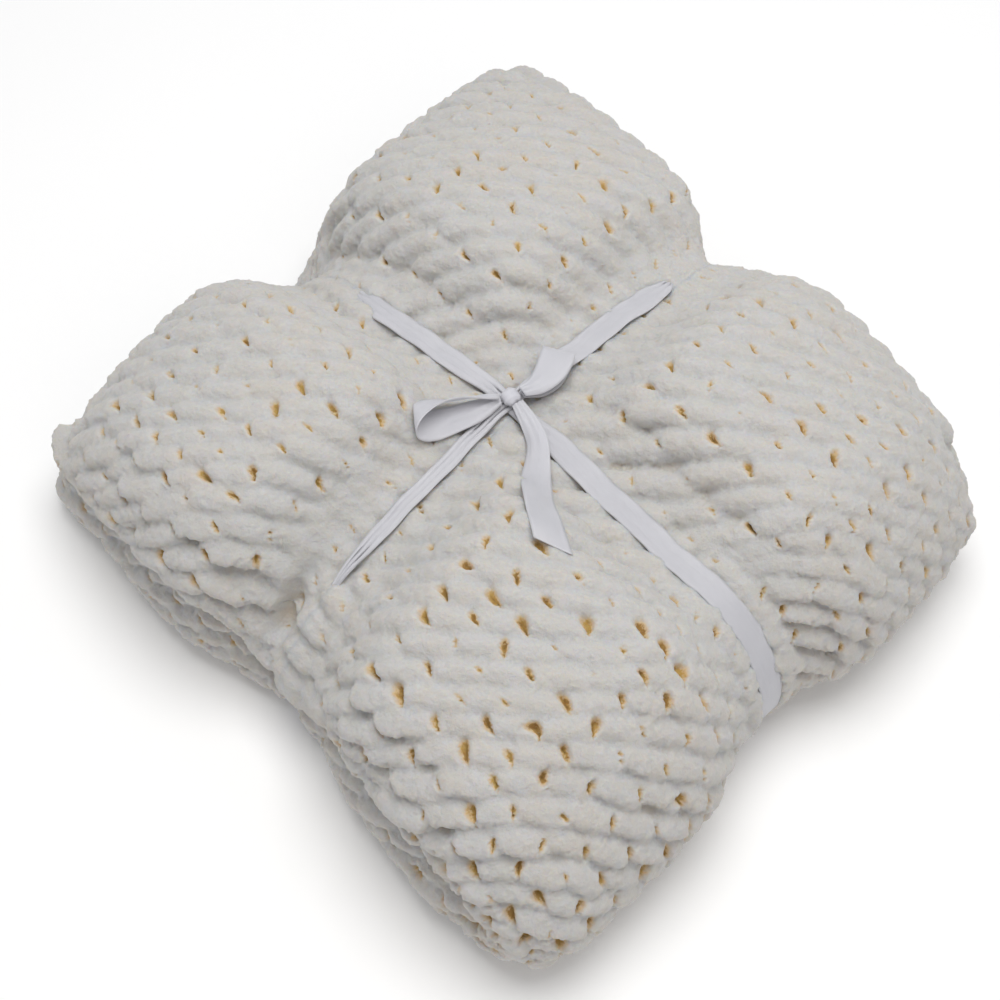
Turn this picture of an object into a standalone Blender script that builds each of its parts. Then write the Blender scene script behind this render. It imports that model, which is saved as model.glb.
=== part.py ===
"""A square chunky knit throw, folded in half twice and tied both ways round with satin ribbon.

Metres, +Z up.  The origin is the middle of the bundle's box, on the surface that it rests on.
The throw's first fold runs along -Y and its last fold along +X, so its free edges are at +Y and -X.
The folding is first laid out as exact flat plies; `eased` then moves every point to where the tie,
the plump knit and its own weight bring it.
"""

import math
from collections import namedtuple

import bmesh
import bpy
import numpy as np
from mathutils import Vector

COLLECTION = "chunky_knit_blanket"

# The folded throw, before the tie draws it in
HALF_X = 0.244
HALF_Y = 0.233
PLY = 0.039  # one thickness of the knit: two strands of 20 mm yarn
PLY_GAP = 0.0035
PAIR = 2 * PLY + PLY_GAP  # two plies, folded once
HEIGHT = 2 * PAIR + PLY_GAP
TURN_REACH = 0.0625  # how far the last fold bulges past its flat part
TURN_X = HALF_X - TURN_REACH
EDGE_ROUND = 0.013
TURN_STEPS = 8
SPREAD_STEPS = 7  # stations from the tie to the rim, closer near the tie
SPREAD_POWER = 1.4

# The crown of the top, and the trough that the tie presses into it
CROWN = 0.196
CROWN_FALL_2 = 0.35  # the crown falls by this times distance squared, along X and along Y
CROWN_FALL_4 = 7.8
TIE_FLAT = 0.0135  # half the width of the trough's flat floor
TROUGH_DEPTH = 0.041
TROUGH_WIDTH = 0.033
TOP_LEAN = 0.0125  # how far the top edges lean in
RECESS = 0.005  # the underside's channel for the ribbon
RECESS_SLOPE = 0.014
PINCH_WIDTH = 0.050
PULL = (-0.0075, 0.0)  # how far the knot draws the top along X and Y, and how wide that spreads
PULL_WIDTH = 0.080
DROP_WIDTH = 0.045
SWAY_WIDTH = 0.070

# What the tie and the weight do to each side: pinch draws its middle in, drop presses the top's edge
# down there, brow lowers the whole top edge, foot spreads the side's lowest part, sway bows the
# trough sideways on its way to that side, and width is how wide the rucked ribbon lies in it
Side = namedtuple("Side", "axis sign pinch drop brow foot sway width")
SIDES = (
    Side(0, -1, -0.0030, 0.0250, 0.0105, 0.0155, -0.0060, 0.0150),
    Side(0, +1, 0.0270, -0.0210, -0.0260, 0.0190, -0.0030, 0.0175),
    Side(1, -1, 0.0230, 0.0290, 0.0005, -0.0085, 0.0000, 0.0115),
    Side(1, +1, 0.0160, -0.0290, 0.0065, -0.0045, -0.0060, 0.0165),
)

# How much further out than a square each puffed quarter's corner reaches, along the diagonal
Lobe = namedtuple("Lobe", "sign_x sign_y reach")
LOBES = (
    Lobe(-1, -1, -0.0210),
    Lobe(+1, +1, -0.0340),
    Lobe(-1, +1, +0.0350),
    Lobe(+1, -1, -0.0055),
)

# The middle of the tie, seen from the middle of the whole bundle's box
TIE = Vector((0.0150, -0.0128, 0.0))

# The ribbon
RIBBON_WIDTH = 0.021
RIBBON = 0.0012
RIBBON_CLEAR = 0.0013
GATHERED_WIDTH = 0.0095  # where the knot gathers it
GATHER_REACH = 0.055
CROSS_LIFT = 0.0019
CROSS_REACH = 0.026
CROSS_RAMP = 2.2
SIDE_STEPS = 8
RIM_STEPS = 2  # segments of every rolled edge
RIM_CLEAR = 0.002  # a flat station this close to a rounded side is left out
KNOT_SIZE = (0.0140, 0.0125, 0.0100)
KNOT_GAP = 0.0005
STRIP_STEPS = 28
STRIP_ACROSS = 4

# Centre lines of the bow's pieces from the knot outwards: x and y in the flat plies' plan, rise over
# the knit, the ribbon's width there, the plan angle that its width runs along, how that width is
# tilted from lying along the knit, and how far it cups
Stop = namedtuple("Stop", "x y rise width turn tilt cup")
BOW = {
    "bow_loop_left": (
        Stop(-0.0032, -0.0061, 0.0090, 0.007, -28, -8, 0.0008),
        Stop(-0.0085, -0.0190, 0.0062, 0.015, -29, 0, 0.0012),
        Stop(-0.0155, -0.0330, 0.0052, 0.020, -30, 3, 0.0006),
        Stop(-0.0225, -0.0470, 0.0050, 0.0215, -31, 5, 0.0000),
        Stop(-0.0278, -0.0562, 0.0072, 0.021, -33, 10, 0.0000),
        Stop(-0.0308, -0.0572, 0.0104, 0.020, -36, 28, 0.0000),
        Stop(-0.0312, -0.0490, 0.0126, 0.0185, -40, 46, 0.0000),
        Stop(-0.0280, -0.0360, 0.0132, 0.017, -42, 57, 0.0005),
        Stop(-0.0205, -0.0235, 0.0130, 0.013, -42, 56, 0.0008),
        Stop(-0.0043, -0.0066, 0.0134, 0.007, -38, 36, 0.0008),
    ),
    "bow_loop_right": (
        Stop(0.0034, 0.0062, 0.0088, 0.007, -8, 0, -0.0008),
        Stop(0.0055, 0.0160, 0.0054, 0.014, 2, 0, -0.0010),
        Stop(0.0045, 0.0275, 0.0040, 0.019, 14, 0, -0.0006),
        Stop(0.0003, 0.0390, 0.0050, 0.0215, 25, 0, 0.0000),
        Stop(-0.0033, 0.0462, 0.0078, 0.022, 32, 0, 0.0000),
        Stop(-0.0028, 0.0462, 0.0114, 0.022, 32, 0, 0.0000),
        Stop(0.0022, 0.0385, 0.0146, 0.022, 26, 0, 0.0000),
        Stop(0.0068, 0.0270, 0.0150, 0.020, 15, 0, 0.0008),
        Stop(0.0074, 0.0155, 0.0138, 0.014, 2, 0, 0.0012),
        Stop(0.0038, 0.0061, 0.0132, 0.007, -8, 0, 0.0010),
    ),
    "ribbon_tail": (
        Stop(0.0063, -0.0006, 0.0104, 0.008, 80, 6, 0.0010),
        Stop(0.0210, -0.0038, 0.0062, 0.012, 72, 10, 0.0012),
        Stop(0.0325, -0.0092, 0.0060, 0.014, 55, 18, 0.0010),
        Stop(0.0412, -0.0180, 0.0060, 0.016, 44, 22, 0.0006),
        Stop(0.0520, -0.0310, 0.0050, 0.019, 40, 10, 0.0004),
        Stop(0.0670, -0.0450, 0.0040, 0.0215, 46, 0, 0.0000),
        Stop(0.0830, -0.0560, 0.0036, 0.022, 53, 0, 0.0000),
        Stop(0.0990, -0.0665, 0.0036, 0.022, 56, 0, 0.0000),
    ),
}
TAIL_SLANT = 0.0065  # one edge of the tail's cut end is this far past the middle, the other short of it
CUT_SHARE = 4  # the slant builds up over this share of the tail: one in this many

IVORY = (0.86, 0.83, 0.77, 1.0)
WHITE_SATIN = (0.87, 0.88, 0.92, 1.0)


def clear_scene():
    for obj in list(bpy.data.objects):
        bpy.data.objects.remove(obj, do_unlink=True)


def new_collection(name):
    made = bpy.data.collections.new(name)
    bpy.context.scene.collection.children.link(made)
    return made


def new_material(name, colour, roughness):
    material = bpy.data.materials.new(name)
    material.use_nodes = True
    shader = material.node_tree.nodes["Principled BSDF"]
    shader.inputs["Base Color"].default_value = colour
    shader.inputs["Roughness"].default_value = roughness
    shader.inputs["Metallic"].default_value = 0.0
    return material


def beside_tie(offset, width):
    """1 on the flat strip under the ribbon, falling softly to 0 on both sides of it."""
    past = np.maximum(np.abs(offset) - TIE_FLAT, 0.0)
    return np.exp(-((past / width) ** 2))


def in_channel(offset):
    """1 over the ribbon's channel in the underside, and exactly 0 a short way past it."""
    past = np.clip((np.abs(offset) - TIE_FLAT) / RECESS_SLOPE, 0.0, 1.0)
    return 1.0 - past * past * (3.0 - 2.0 * past)


def top_height(x, y):
    """The height of the crowned top over a point, with the trough that the tie presses into it."""
    spread = (x / HALF_X, y / HALF_Y)
    away = (y, x)  # the distance from the tie that runs along each axis
    fall = CROWN_FALL_2 * (x**2 + y**2) + CROWN_FALL_4 * (x**4 + y**4)
    trough = 1.0 - (1.0 - beside_tie(x, TROUGH_WIDTH)) * (1.0 - beside_tie(y, TROUGH_WIDTH))
    height = CROWN - fall - TROUGH_DEPTH * trough
    for side in SIDES:
        out = np.maximum(side.sign * spread[side.axis], 0.0)
        height = height - side.drop * out**4 * beside_tie(away[side.axis], DROP_WIDTH)
        height = height - side.brow * out**6
    return height


def eased(points):
    """Flat-ply points moved to where the tie, the plump knit and its weight bring them."""
    x, y, z = points[:, 0], points[:, 1], points[:, 2]
    past_turn = x - TURN_X
    x = np.where(past_turn > 0.0, TURN_X + past_turn * TURN_REACH / (HEIGHT / 2), x)
    spread = (x / HALF_X, y / HALF_Y)
    away = (y, x)
    level = z / HEIGHT
    corner = (spread[0] * spread[1]) ** 2
    reach = np.zeros_like(x)
    for lobe in LOBES:
        inside = (np.sign(x) == lobe.sign_x) & (np.sign(y) == lobe.sign_y)
        reach = np.where(inside, lobe.reach / math.hypot(HALF_X, HALF_Y), reach)
    moved = [x * (1.0 + reach * corner), y * (1.0 + reach * corner)]
    for side in SIDES:
        out = np.maximum(side.sign * spread[side.axis], 0.0)
        inward = side.pinch * out**3 * beside_tie(away[side.axis], PINCH_WIDTH)
        inward = inward + TOP_LEAN * out**3 * level**3
        inward = inward - side.foot * out**5 * (1.0 - level)
        moved[side.axis] = moved[side.axis] - side.sign * inward
        bow = (4.0 * out * np.maximum(1.0 - out, 0.0)) ** 2 * np.exp(-((away[side.axis] / SWAY_WIDTH) ** 2))
        moved[1 - side.axis] = moved[1 - side.axis] + side.sway * bow * level**2
    pull = level**2 * np.exp(-(x**2 + y**2) / PULL_WIDTH**2)
    moved = [moved[axis] + PULL[axis] * pull for axis in (0, 1)]
    channel = 1.0 - (1.0 - in_channel(x)) * (1.0 - in_channel(y))
    height = level * top_height(x, y) + (1.0 - level) * RECESS * channel
    return np.stack([moved[0] + TIE.x, moved[1] + TIE.y, height], axis=1)


def move_points(mesh, rule):
    flat = np.empty(len(mesh.vertices) * 3)
    mesh.vertices.foreach_get("co", flat)
    mesh.vertices.foreach_set("co", rule(flat.reshape(-1, 3)).ravel())
    mesh.update()


def spread_from_tie(reach):
    """Stations from the edge of the tie's flat strip out to the rim, closer near the tie."""
    share = (np.arange(SPREAD_STEPS + 1) / SPREAD_STEPS) ** SPREAD_POWER
    return TIE_FLAT + (reach - TIE_FLAT) * share


def stations(low, high):
    """Stations across a flat ply, from -low to +high."""
    return np.concatenate([-spread_from_tie(low)[::-1], spread_from_tie(high)])


def turn_angles(steps=TURN_STEPS):
    return np.linspace(-math.pi / 2, math.pi / 2, steps + 1)[1:-1]


def first_fold():
    """The throw's section across the first fold: y, and depth under the bundle's outer face."""
    fold_y = -(HALF_Y - PAIR / 2)
    across = stations(-fold_y, HALF_Y)
    mid_radius = (PLY + PLY_GAP) / 2
    outer = [(y, PLY / 2) for y in across[::-1]]
    fold = [
        (fold_y - mid_radius * math.cos(a), PAIR / 2 + mid_radius * math.sin(a))
        for a in turn_angles()
    ]
    inner = [(y, PAIR - PLY / 2) for y in across]
    return outer + fold + inner


def last_fold():
    """Places along the last fold: a flat x at the bottom or top, or an angle round the turn."""
    along = stations(HALF_X, TURN_X)
    under = [("under", x) for x in along]
    turn = [("turn", a) for a in turn_angles()]
    over = [("over", x) for x in along[::-1]]
    return under + turn + over


def fold_point(place, y, depth):
    """The flat-ply point at one place along the last fold, at this depth under the outer face."""
    kind, value = place
    if kind == "under":
        return value, y, depth
    if kind == "over":
        return value, y, HEIGHT - depth
    radius = HEIGHT / 2 - depth
    return TURN_X + radius * math.cos(value), y, HEIGHT / 2 + radius * math.sin(value)


def grid_object(name, rows, material, collection):
    """An open sheet of quads whose points are given row by row."""
    tall, wide = len(rows) - 1, len(rows[0]) - 1
    shape = bmesh.new()
    bmesh.ops.create_grid(shape, x_segments=wide, y_segments=tall, size=0.5)
    for vert in shape.verts:
        column = round((vert.co.x + 0.5) * wide)
        row = round((vert.co.y + 0.5) * tall)
        vert.co = rows[row][column]
    mesh = bpy.data.meshes.new(name)
    shape.to_mesh(mesh)
    shape.free()
    mesh.materials.append(material)
    obj = bpy.data.objects.new(name, mesh)
    collection.objects.link(obj)
    return obj


def solidify(obj, thickness, offset):
    modifier = obj.modifiers.new("thickness", "SOLIDIFY")
    modifier.thickness = thickness
    modifier.offset = offset
    modifier.use_even_offset = True
    return modifier


def stand_off(obj, distance):
    modifier = obj.modifiers.new("clearance", "DISPLACE")
    modifier.mid_level = 0.0
    modifier.strength = distance


def round_rim(obj, width, segments):
    modifier = obj.modifiers.new("rolled edge", "BEVEL")
    modifier.width = width
    modifier.segments = segments
    modifier.limit_method = "ANGLE"
    modifier.angle_limit = math.radians(60)
    return modifier


def apply_modifiers(obj):
    bpy.context.view_layer.update()
    graph = bpy.context.evaluated_depsgraph_get()
    made = bpy.data.meshes.new_from_object(obj.evaluated_get(graph))
    old = obj.data
    obj.modifiers.clear()
    obj.data = made
    made.name = obj.name
    bpy.data.meshes.remove(old)


def finish_smooth(obj):
    obj.data.shade_smooth()


def make_blanket(collection, material):
    section = first_fold()
    rows = [[fold_point(place, y, depth) for y, depth in section] for place in last_fold()]
    blanket = grid_object("blanket", rows, material, collection)
    solidify(blanket, PLY, 0.0)
    round_rim(blanket, EDGE_ROUND, RIM_STEPS)
    apply_modifiers(blanket)
    move_points(blanket.data, eased)
    finish_smooth(blanket)
    return blanket


def arc(centre, radius, start, stop, steps):
    """Points of an arc in the upright plane, angles in degrees from level, ends included."""
    angles = np.radians(np.linspace(start, stop, steps + 1))
    return [(centre[0] + radius * math.cos(a), centre[1] + radius * math.sin(a)) for a in angles]


def round_side(reach, radius, steps):
    """Down one side of the flat plies' section: distances and heights."""
    centre = reach - radius
    top = arc((centre, HEIGHT - radius), radius, 90, 0, steps)
    base = arc((centre, radius), radius, 0, -90, steps)
    if HEIGHT - 2 * radius < EDGE_ROUND:
        return top + base[1:]
    heights = np.linspace(HEIGHT - radius, radius, SIDE_STEPS + 1)[1:-1]
    return top + [(reach, z) for z in heights] + base


def band_outline(across, low, high):
    """A closed line round the flat plies' section, from the top; `low` and `high` are (reach, radius, steps)."""
    kept = [v for v in across if low[1] - low[0] + RIM_CLEAR < v < high[0] - high[1] - RIM_CLEAR]
    over = [(v, HEIGHT) for v in kept]
    under = [(v, 0.0) for v in kept[::-1]]
    down = round_side(*high)
    up = [(-v, z) for v, z in round_side(*low)[::-1]]
    return over + down + under + up


def band_width(axis, distance, z):
    """The ribbon's width: gathered at the knot, rucked along the top, and full underneath."""
    side = next(side for side in SIDES if side.axis == axis and side.sign * distance >= 0.0)
    share = min(1.0, abs(distance) / GATHER_REACH) if z >= HEIGHT else 1.0
    width = GATHERED_WIDTH + (side.width - GATHERED_WIDTH) * share**2 * (3.0 - 2.0 * share)
    return width + (RIBBON_WIDTH - width) * (1.0 - min(z / HEIGHT, 1.0))


def make_band(name, collection, material, outline, along_x, over):
    """One turn of ribbon round the bundle, eased with it; `over` lifts it clear of the other one."""
    rows = []
    for distance, z in outline:
        near = max(0.0, 1.0 - abs(distance) / CROSS_REACH)
        lift = CROSS_LIFT * min(1.0, CROSS_RAMP * near) if over else 0.0
        half = band_width(0 if along_x else 1, distance, z) / 2
        z = z + lift if z > HEIGHT / 2 else z - lift
        row = []
        for side in (-half, 0.0, half):
            row.append((distance, side, z) if along_x else (side, distance, z))
        rows.append(row)
    rows.append(rows[0])
    band = grid_object(name, rows, material, collection)
    shape = bmesh.new()
    shape.from_mesh(band.data)
    bmesh.ops.remove_doubles(shape, verts=shape.verts, dist=1e-6)
    bmesh.ops.recalc_face_normals(shape, faces=shape.faces)
    shape.to_mesh(band.data)
    shape.free()
    move_points(band.data, eased)
    outward = face_outward(band.data)
    stand_off(band, RIBBON_CLEAR * outward)
    solidify(band, RIBBON, outward)
    apply_modifiers(band)
    finish_smooth(band)
    return band


def face_outward(mesh):
    """1 where the strip's normals point away from the bundle's middle, else -1."""
    middle = Vector((TIE.x, TIE.y, HEIGHT / 2))
    score = sum((face.center - middle).dot(face.normal) * face.area for face in mesh.polygons)
    return 1.0 if score > 0.0 else -1.0


def catmull(rows, steps):
    """Evenly stepped values on a smooth curve through a table's rows."""
    table = np.array(rows, float)
    table = np.vstack([2 * table[0] - table[1], table, 2 * table[-1] - table[-2]])
    spans = len(rows) - 1
    out = []
    for step in range(steps + 1):
        place = step / steps * spans
        i = min(int(place), spans - 1)
        t = place - i
        p0, p1, p2, p3 = table[i : i + 4]
        out.append(
            0.5
            * (
                2 * p1
                + (p2 - p0) * t
                + (2 * p0 - 5 * p1 + 4 * p2 - p3) * t**2
                + (3 * p1 - p0 - 3 * p2 + p3) * t**3
            )
        )
    return out


def on_top(x, y, lift=0.0):
    """Where the eased top, or a place in the flat plies' frame this far above it, ends up."""
    return Vector(eased(np.array([[x, y, HEIGHT + lift]]))[0])


def make_strip(name, collection, material, table, slant=0.0):
    """A length of ribbon along a table's line, as an open sheet given the ribbon's thickness."""
    line = [Stop(*values) for values in catmull(table, STRIP_STEPS)]
    centres = [on_top(stop.x, stop.y) + Vector((0.0, 0.0, stop.rise)) for stop in line]
    rows = []
    for i, stop in enumerate(line):
        ahead = centres[min(i + 1, STRIP_STEPS)] - centres[max(i - 1, 0)]
        ahead.normalize()
        plan = np.array((math.cos(math.radians(stop.turn)), math.sin(math.radians(stop.turn))))
        step = plan * stop.width / 2
        along_knit = on_top(stop.x + step[0], stop.y + step[1])
        along_knit -= on_top(stop.x - step[0], stop.y - step[1])
        lean = math.asin(along_knit.normalized().z) + math.radians(stop.tilt)
        across = Vector((plan[0] * math.cos(lean), plan[1] * math.cos(lean), math.sin(lean)))
        face = ahead.cross(across).normalized()
        row = []
        for j in range(STRIP_ACROSS + 1):
            side = j / STRIP_ACROSS * 2.0 - 1.0
            past = slant * side * max(0.0, 1.0 - (1.0 - i / STRIP_STEPS) * CUT_SHARE)
            point = centres[i] + across * (side * stop.width / 2) + ahead * past
            row.append(point + face * (stop.cup * (1.0 - side**2)))
        rows.append(row)
    strip = grid_object(name, rows, material, collection)
    solidify(strip, RIBBON, 0.0)
    apply_modifiers(strip)
    finish_smooth(strip)
    return strip


def make_knot(collection, material):
    """The wrapped knot: a squat lump with the grooves of the ribbon's turns across it."""
    shape = bmesh.new()
    bmesh.ops.create_uvsphere(shape, u_segments=20, v_segments=12, radius=1.0)
    for vert in shape.verts:
        x, y, z = vert.co
        groove = 1.0 - 0.10 * math.exp(-(((x - 0.25 * y) / 0.22) ** 2)) * (z > -0.2)
        waist = 1.0 - 0.16 * math.exp(-((y / 0.35) ** 2)) * abs(x)
        vert.co = Vector((x * groove * waist, y * groove, z * groove))
    mesh = bpy.data.meshes.new("ribbon_knot")
    shape.to_mesh(mesh)
    shape.free()
    size = np.array(KNOT_SIZE) / 2
    crossing = on_top(0.0, 0.0, RIBBON_CLEAR + CROSS_LIFT)
    middle = np.array(crossing) + np.array((0.0, 0.0, RIBBON + KNOT_GAP + size[2]))
    move_points(mesh, lambda points: points * size + middle)
    mesh.materials.append(material)
    knot = bpy.data.objects.new("ribbon_knot", mesh)
    collection.objects.link(knot)
    finish_smooth(knot)
    return knot


def main():
    clear_scene()
    collection = new_collection(COLLECTION)
    knit = new_material("ivory chenille", IVORY, 0.95)
    satin = new_material("white satin", WHITE_SATIN, 0.35)
    make_blanket(collection, knit)
    rim = (HALF_X, EDGE_ROUND, RIM_STEPS)
    turn = (TURN_X + HEIGHT / 2, HEIGHT / 2, TURN_STEPS // 2)
    round_x = band_outline(stations(HALF_X, TURN_X), rim, turn)
    fold = (HALF_Y, PAIR / 2, TURN_STEPS // 2)
    rim = (HALF_Y, EDGE_ROUND, RIM_STEPS)
    round_y = band_outline(stations(HALF_Y - PAIR / 2, HALF_Y), fold, rim)
    make_band("ribbon_band_x", collection, satin, round_x, along_x=True, over=False)
    make_band("ribbon_band_y", collection, satin, round_y, along_x=False, over=True)
    make_knot(collection, satin)
    for name, table in BOW.items():
        slant = TAIL_SLANT if name == "ribbon_tail" else 0.0
        make_strip(name, collection, satin, table, slant)


main()
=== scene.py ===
"""A chunky chenille throw, folded in half twice and tied crosswise with satin ribbon."""

from collections import namedtuple
from functools import partial
from math import asin, cos, hypot, pi, radians, sin

import bmesh
import bpy
import numpy as np
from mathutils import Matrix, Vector
from mathutils.bvhtree import BVHTree
from mathutils.kdtree import KDTree

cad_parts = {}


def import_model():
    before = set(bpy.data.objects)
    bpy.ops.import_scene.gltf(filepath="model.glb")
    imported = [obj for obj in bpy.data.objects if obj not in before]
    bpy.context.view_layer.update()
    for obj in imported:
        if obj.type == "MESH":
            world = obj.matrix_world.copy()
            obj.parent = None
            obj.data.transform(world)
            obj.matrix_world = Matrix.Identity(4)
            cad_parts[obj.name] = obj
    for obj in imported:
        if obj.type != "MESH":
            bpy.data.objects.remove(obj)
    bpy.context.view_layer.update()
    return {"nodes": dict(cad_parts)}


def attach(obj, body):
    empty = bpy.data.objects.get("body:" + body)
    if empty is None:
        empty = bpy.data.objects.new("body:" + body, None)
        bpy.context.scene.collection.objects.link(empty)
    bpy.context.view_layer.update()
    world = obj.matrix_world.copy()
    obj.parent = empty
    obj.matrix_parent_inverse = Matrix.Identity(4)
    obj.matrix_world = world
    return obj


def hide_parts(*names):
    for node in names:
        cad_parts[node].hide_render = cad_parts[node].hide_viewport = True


# ---- the folded throw's form
HALF_X = 0.244  # the flat plies' half sizes
HALF_Y = 0.233
PLY = 0.039  # one thickness of knit, and the gap between two
PLY_GAP = 0.0035
PAIR = 2 * PLY + PLY_GAP
HEIGHT = 2 * PAIR + PLY_GAP
TURN_REACH = 0.0625  # how far the last fold reaches past the place where it starts to turn
TURN_X = HALF_X - TURN_REACH
FOLD_Y = -(HALF_Y - PAIR / 2)
FLAT_T = HALF_Y - FOLD_Y  # from the free edge at +Y to the first fold
CROWN = 0.196  # the top's height, less what it falls by away from the tie and into the ribbons' trough
CROWN_FALL_2 = 0.35
CROWN_FALL_4 = 7.8
TIE_FLAT = 0.0135  # half the width that the ribbons hold flat
TROUGH_DEPTH = 0.041
TROUGH_WIDTH = 0.033
TOP_LEAN = 0.0125  # how far the sides' tops lean in
RECESS = 0.005  # the channel underneath that the ribbons run in
RECESS_SLOPE = 0.014
PINCH_WIDTH = 0.050
PULL = (-0.0075, 0.0)  # how far the knot pulls the top
PULL_WIDTH = 0.080
DROP_WIDTH = 0.045
SWAY_WIDTH = 0.070
# How far the ribbon pinches a side in and lowers its top, how far the whole of its brow drops and its foot
# spreads, how far the ribbon sways on the way there, and the ribbon's width.
Side = namedtuple("Side", "axis sign pinch drop brow foot sway width")
SIDES = (
    Side(0, -1, -0.0030, 0.0250, 0.0105, 0.0155, -0.0060, 0.0150),
    Side(0, +1, 0.0270, -0.0210, -0.0260, 0.0190, -0.0030, 0.0175),
    Side(1, -1, 0.0230, 0.0290, 0.0005, -0.0085, 0.0000, 0.0115),
    Side(1, +1, 0.0160, -0.0290, 0.0065, -0.0045, -0.0060, 0.0165),
)
Quarter = namedtuple("Quarter", "name sign_x sign_y reach open")  # how far it swells out, and how open it is
QUARTERS = (
    Quarter("knit_left", -1, -1, -0.0210, 0.74),
    Quarter("knit_right", +1, +1, -0.0340, 0.66),
    Quarter("knit_far", -1, +1, +0.0350, 0.60),
    Quarter("knit_near", +1, -1, -0.0055, 0.98),
)
Tuck = namedtuple("Tuck", "axis sign at width reach")  # the far quarter's sides, drawn in beside the ribbon
TUCKS = (
    Tuck(0, -1, +0.004, 0.022, 0.0250),
    Tuck(1, +1, -0.005, 0.022, 0.0250),
)
Slump = namedtuple("Slump", "at width from_y over reach")  # the near quarter's soft fold, bulging out
SLUMP = Slump(0.168, 0.044, 0.140, 0.070, 0.0060)
Cleft = namedtuple("Cleft", "at width from_y over above deep")  # drawn into the folded side by the ribbon
CLEFT = Cleft(-0.0180, 0.0050, 0.150, 0.035, 0.020, 0.0130)
TIE = Vector((0.0150, -0.0128, 0.0))  # where the ribbons cross

# ---- the camera and the lamps
CAMERA_AIM = Vector((0.0069, -0.0237, 0.080))  # from the tie
CAMERA_AZIMUTH = 45.8
CAMERA_ELEVATION = 60.2
CAMERA_DISTANCE = 1.30
CAMERA_LENS = 70.6
Lamp = namedtuple("Lamp", "name place size power colour")
LAMPS = (
    Lamp("key", (0.05, 0.10, 2.3), 1.5, 35.5, (1.0, 0.994, 0.982)),
    Lamp("fill", (1.4, -0.7, 1.9), 1.8, 5.0, (1.0, 0.85, 0.70)),
)
SKY = 0.45
FLOOR_HALF = 6.0

# ---- the knit
SEED = 11
YARN = 0.0089  # half the strand's thickness
LIP_YARN = 0.0082  # the same beside the ribbon
COURSE = np.array((0.0272, -0.0012))  # to the next stitch, along s and t on the fabric
WALE = np.array((0.0005, 0.0215))  # to the next row
PHASE = np.array((0.1214, HALF_Y + 0.1108))  # where three stitches meet
LEG_REACH = COURSE - 0.55 * WALE  # from the middle of a stitch's leg to its end, and how it bends on the way
LEG_BEND = 0.57 * COURSE
MARGIN = 0.006  # how near the stitches of the outer face come to its edges
PROUD = 0.0032  # how far the crests stand over the solid's surface
EDGE_PROUD = 0.0020
LIP_PROUD = 0.0052
DIVE = 0.0160  # how far a stitch's ends sink in, and how much more down the sides
DIVE_SIDE = 0.0070
EDGE_DIVE = 0.0110
LEG_STEPS = 17
LEG_SIDES = 14
ALONG_LEG = np.linspace(-1.0, 1.0, LEG_STEPS)
# What share of a leg stays up, and how its width and depth then shrink towards its ends.
Taper = namedtuple("Taper", "stay broad narrower broad_power shallower deep_power")
FACE_TAPER = Taper(0.34, 1.06, 0.42, 1.4, 0.34, 1.6)
EDGE_TAPER = Taper(0.35, 1.00, 0.35, 1.5, 0.25, 1.5)
LIP_TAPER = Taper(0.40, 1.00, 0.30, 1.4, 0.30, 1.6)
Stray = namedtuple("Stray", "place plump off turn", defaults=(0.0, 0.0))  # a hand's unevenness, as deviations
FACE_STRAY = Stray(0.0008, 0.06, 0.0009, radians(3.5))
EDGE_STRAY = Stray(0.0007, 0.05)
LIP_STRAY = Stray(0.0007, 0.05, 0.0006)
EDGE_PITCH = 0.0262
EDGE_SHORT = 0.012  # how far short of the cloth's corner its edge stitches stop
EDGE_LINE = (0.0088, 0.0020, -0.0030)  # an edge leg's distance from the ply's middle, by powers of its share
RIBBON_PRESS = 0.0052  # how far the ribbon presses the knit in
PRESS_HALF = 0.0150  # half the width that it presses: so much at the floor, and less from PRESS_TOP up
PRESS_LESS = 0.0045
PRESS_TOP = 0.12
BANK_START = 0.0115  # the soft knit beside the ribbon's channel underneath, which settles on the ground
BANK_SLOPE = 0.004
LOW_TOP = 0.045  # what lies within reach of the ground
LOW_SPAN = 0.03
SIDE_START = 0.155  # the bundle's outer sides start this far from the tie
SIDE_SPAN = 0.045
EYE_AXIS = 0.42 * COURSE + 0.22 * WALE  # the long way of the eye between stitches
Eye = namedtuple("Eye", "long wide deep stray reach under shell")
EYE = Eye(0.0060, 0.0021, 0.0086, 0.0010, 0.0160, 0.0040, 0.0060)
EYE_SPREAD = (radians(14.0), 0.45, 0.22)  # of the eyes' lean, curl and taper
Wave = namedtuple("Wave", "along across by_s by_t start")  # slow waves that the rows wander in
WAVES = (
    Wave(0.0026, 0.0016, 29.0, 13.0, 0.6),
    Wave(-0.0014, 0.0022, -19.0, 41.0, 2.2),
    Wave(0.0012, -0.0012, 53.0, -37.0, 4.1),
)
# A row of knit beside the ribbon: where it starts and is full, how clear of the ribbon's middle it is at
# each, how much taller it gets, and what share of the way down it goes.
Lip = namedtuple("Lip", "axis sign across start wide full clear tall last", defaults=(0.0, 1.0))
LIPS = (
    Lip(0, -1, -1, 0.104, 0.0080, 0.168, -0.0040),
    Lip(0, -1, +1, 0.090, 0.0084, 0.200, -0.0030),
    Lip(0, +1, -1, 0.090, 0.0092, 0.200, 0.0060),
    Lip(0, +1, +1, 0.120, 0.0096, 0.220, 0.0080, -0.0016),
    Lip(1, -1, -1, 0.060, 0.0066, 0.170, 0.0056, -0.0030, 0.50),
    Lip(1, -1, +1, 0.130, 0.0100, 0.204, -0.0130, 0.0036, 0.62),
    Lip(1, -1, +1, 0.150, 0.0120, 0.204, 0.0020, 0.0010, 0.58),
    Lip(1, +1, -1, 0.100, 0.0092, 0.186, -0.0065),
    Lip(1, +1, +1, 0.115, 0.0120, 0.184, -0.0085),
)
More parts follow.
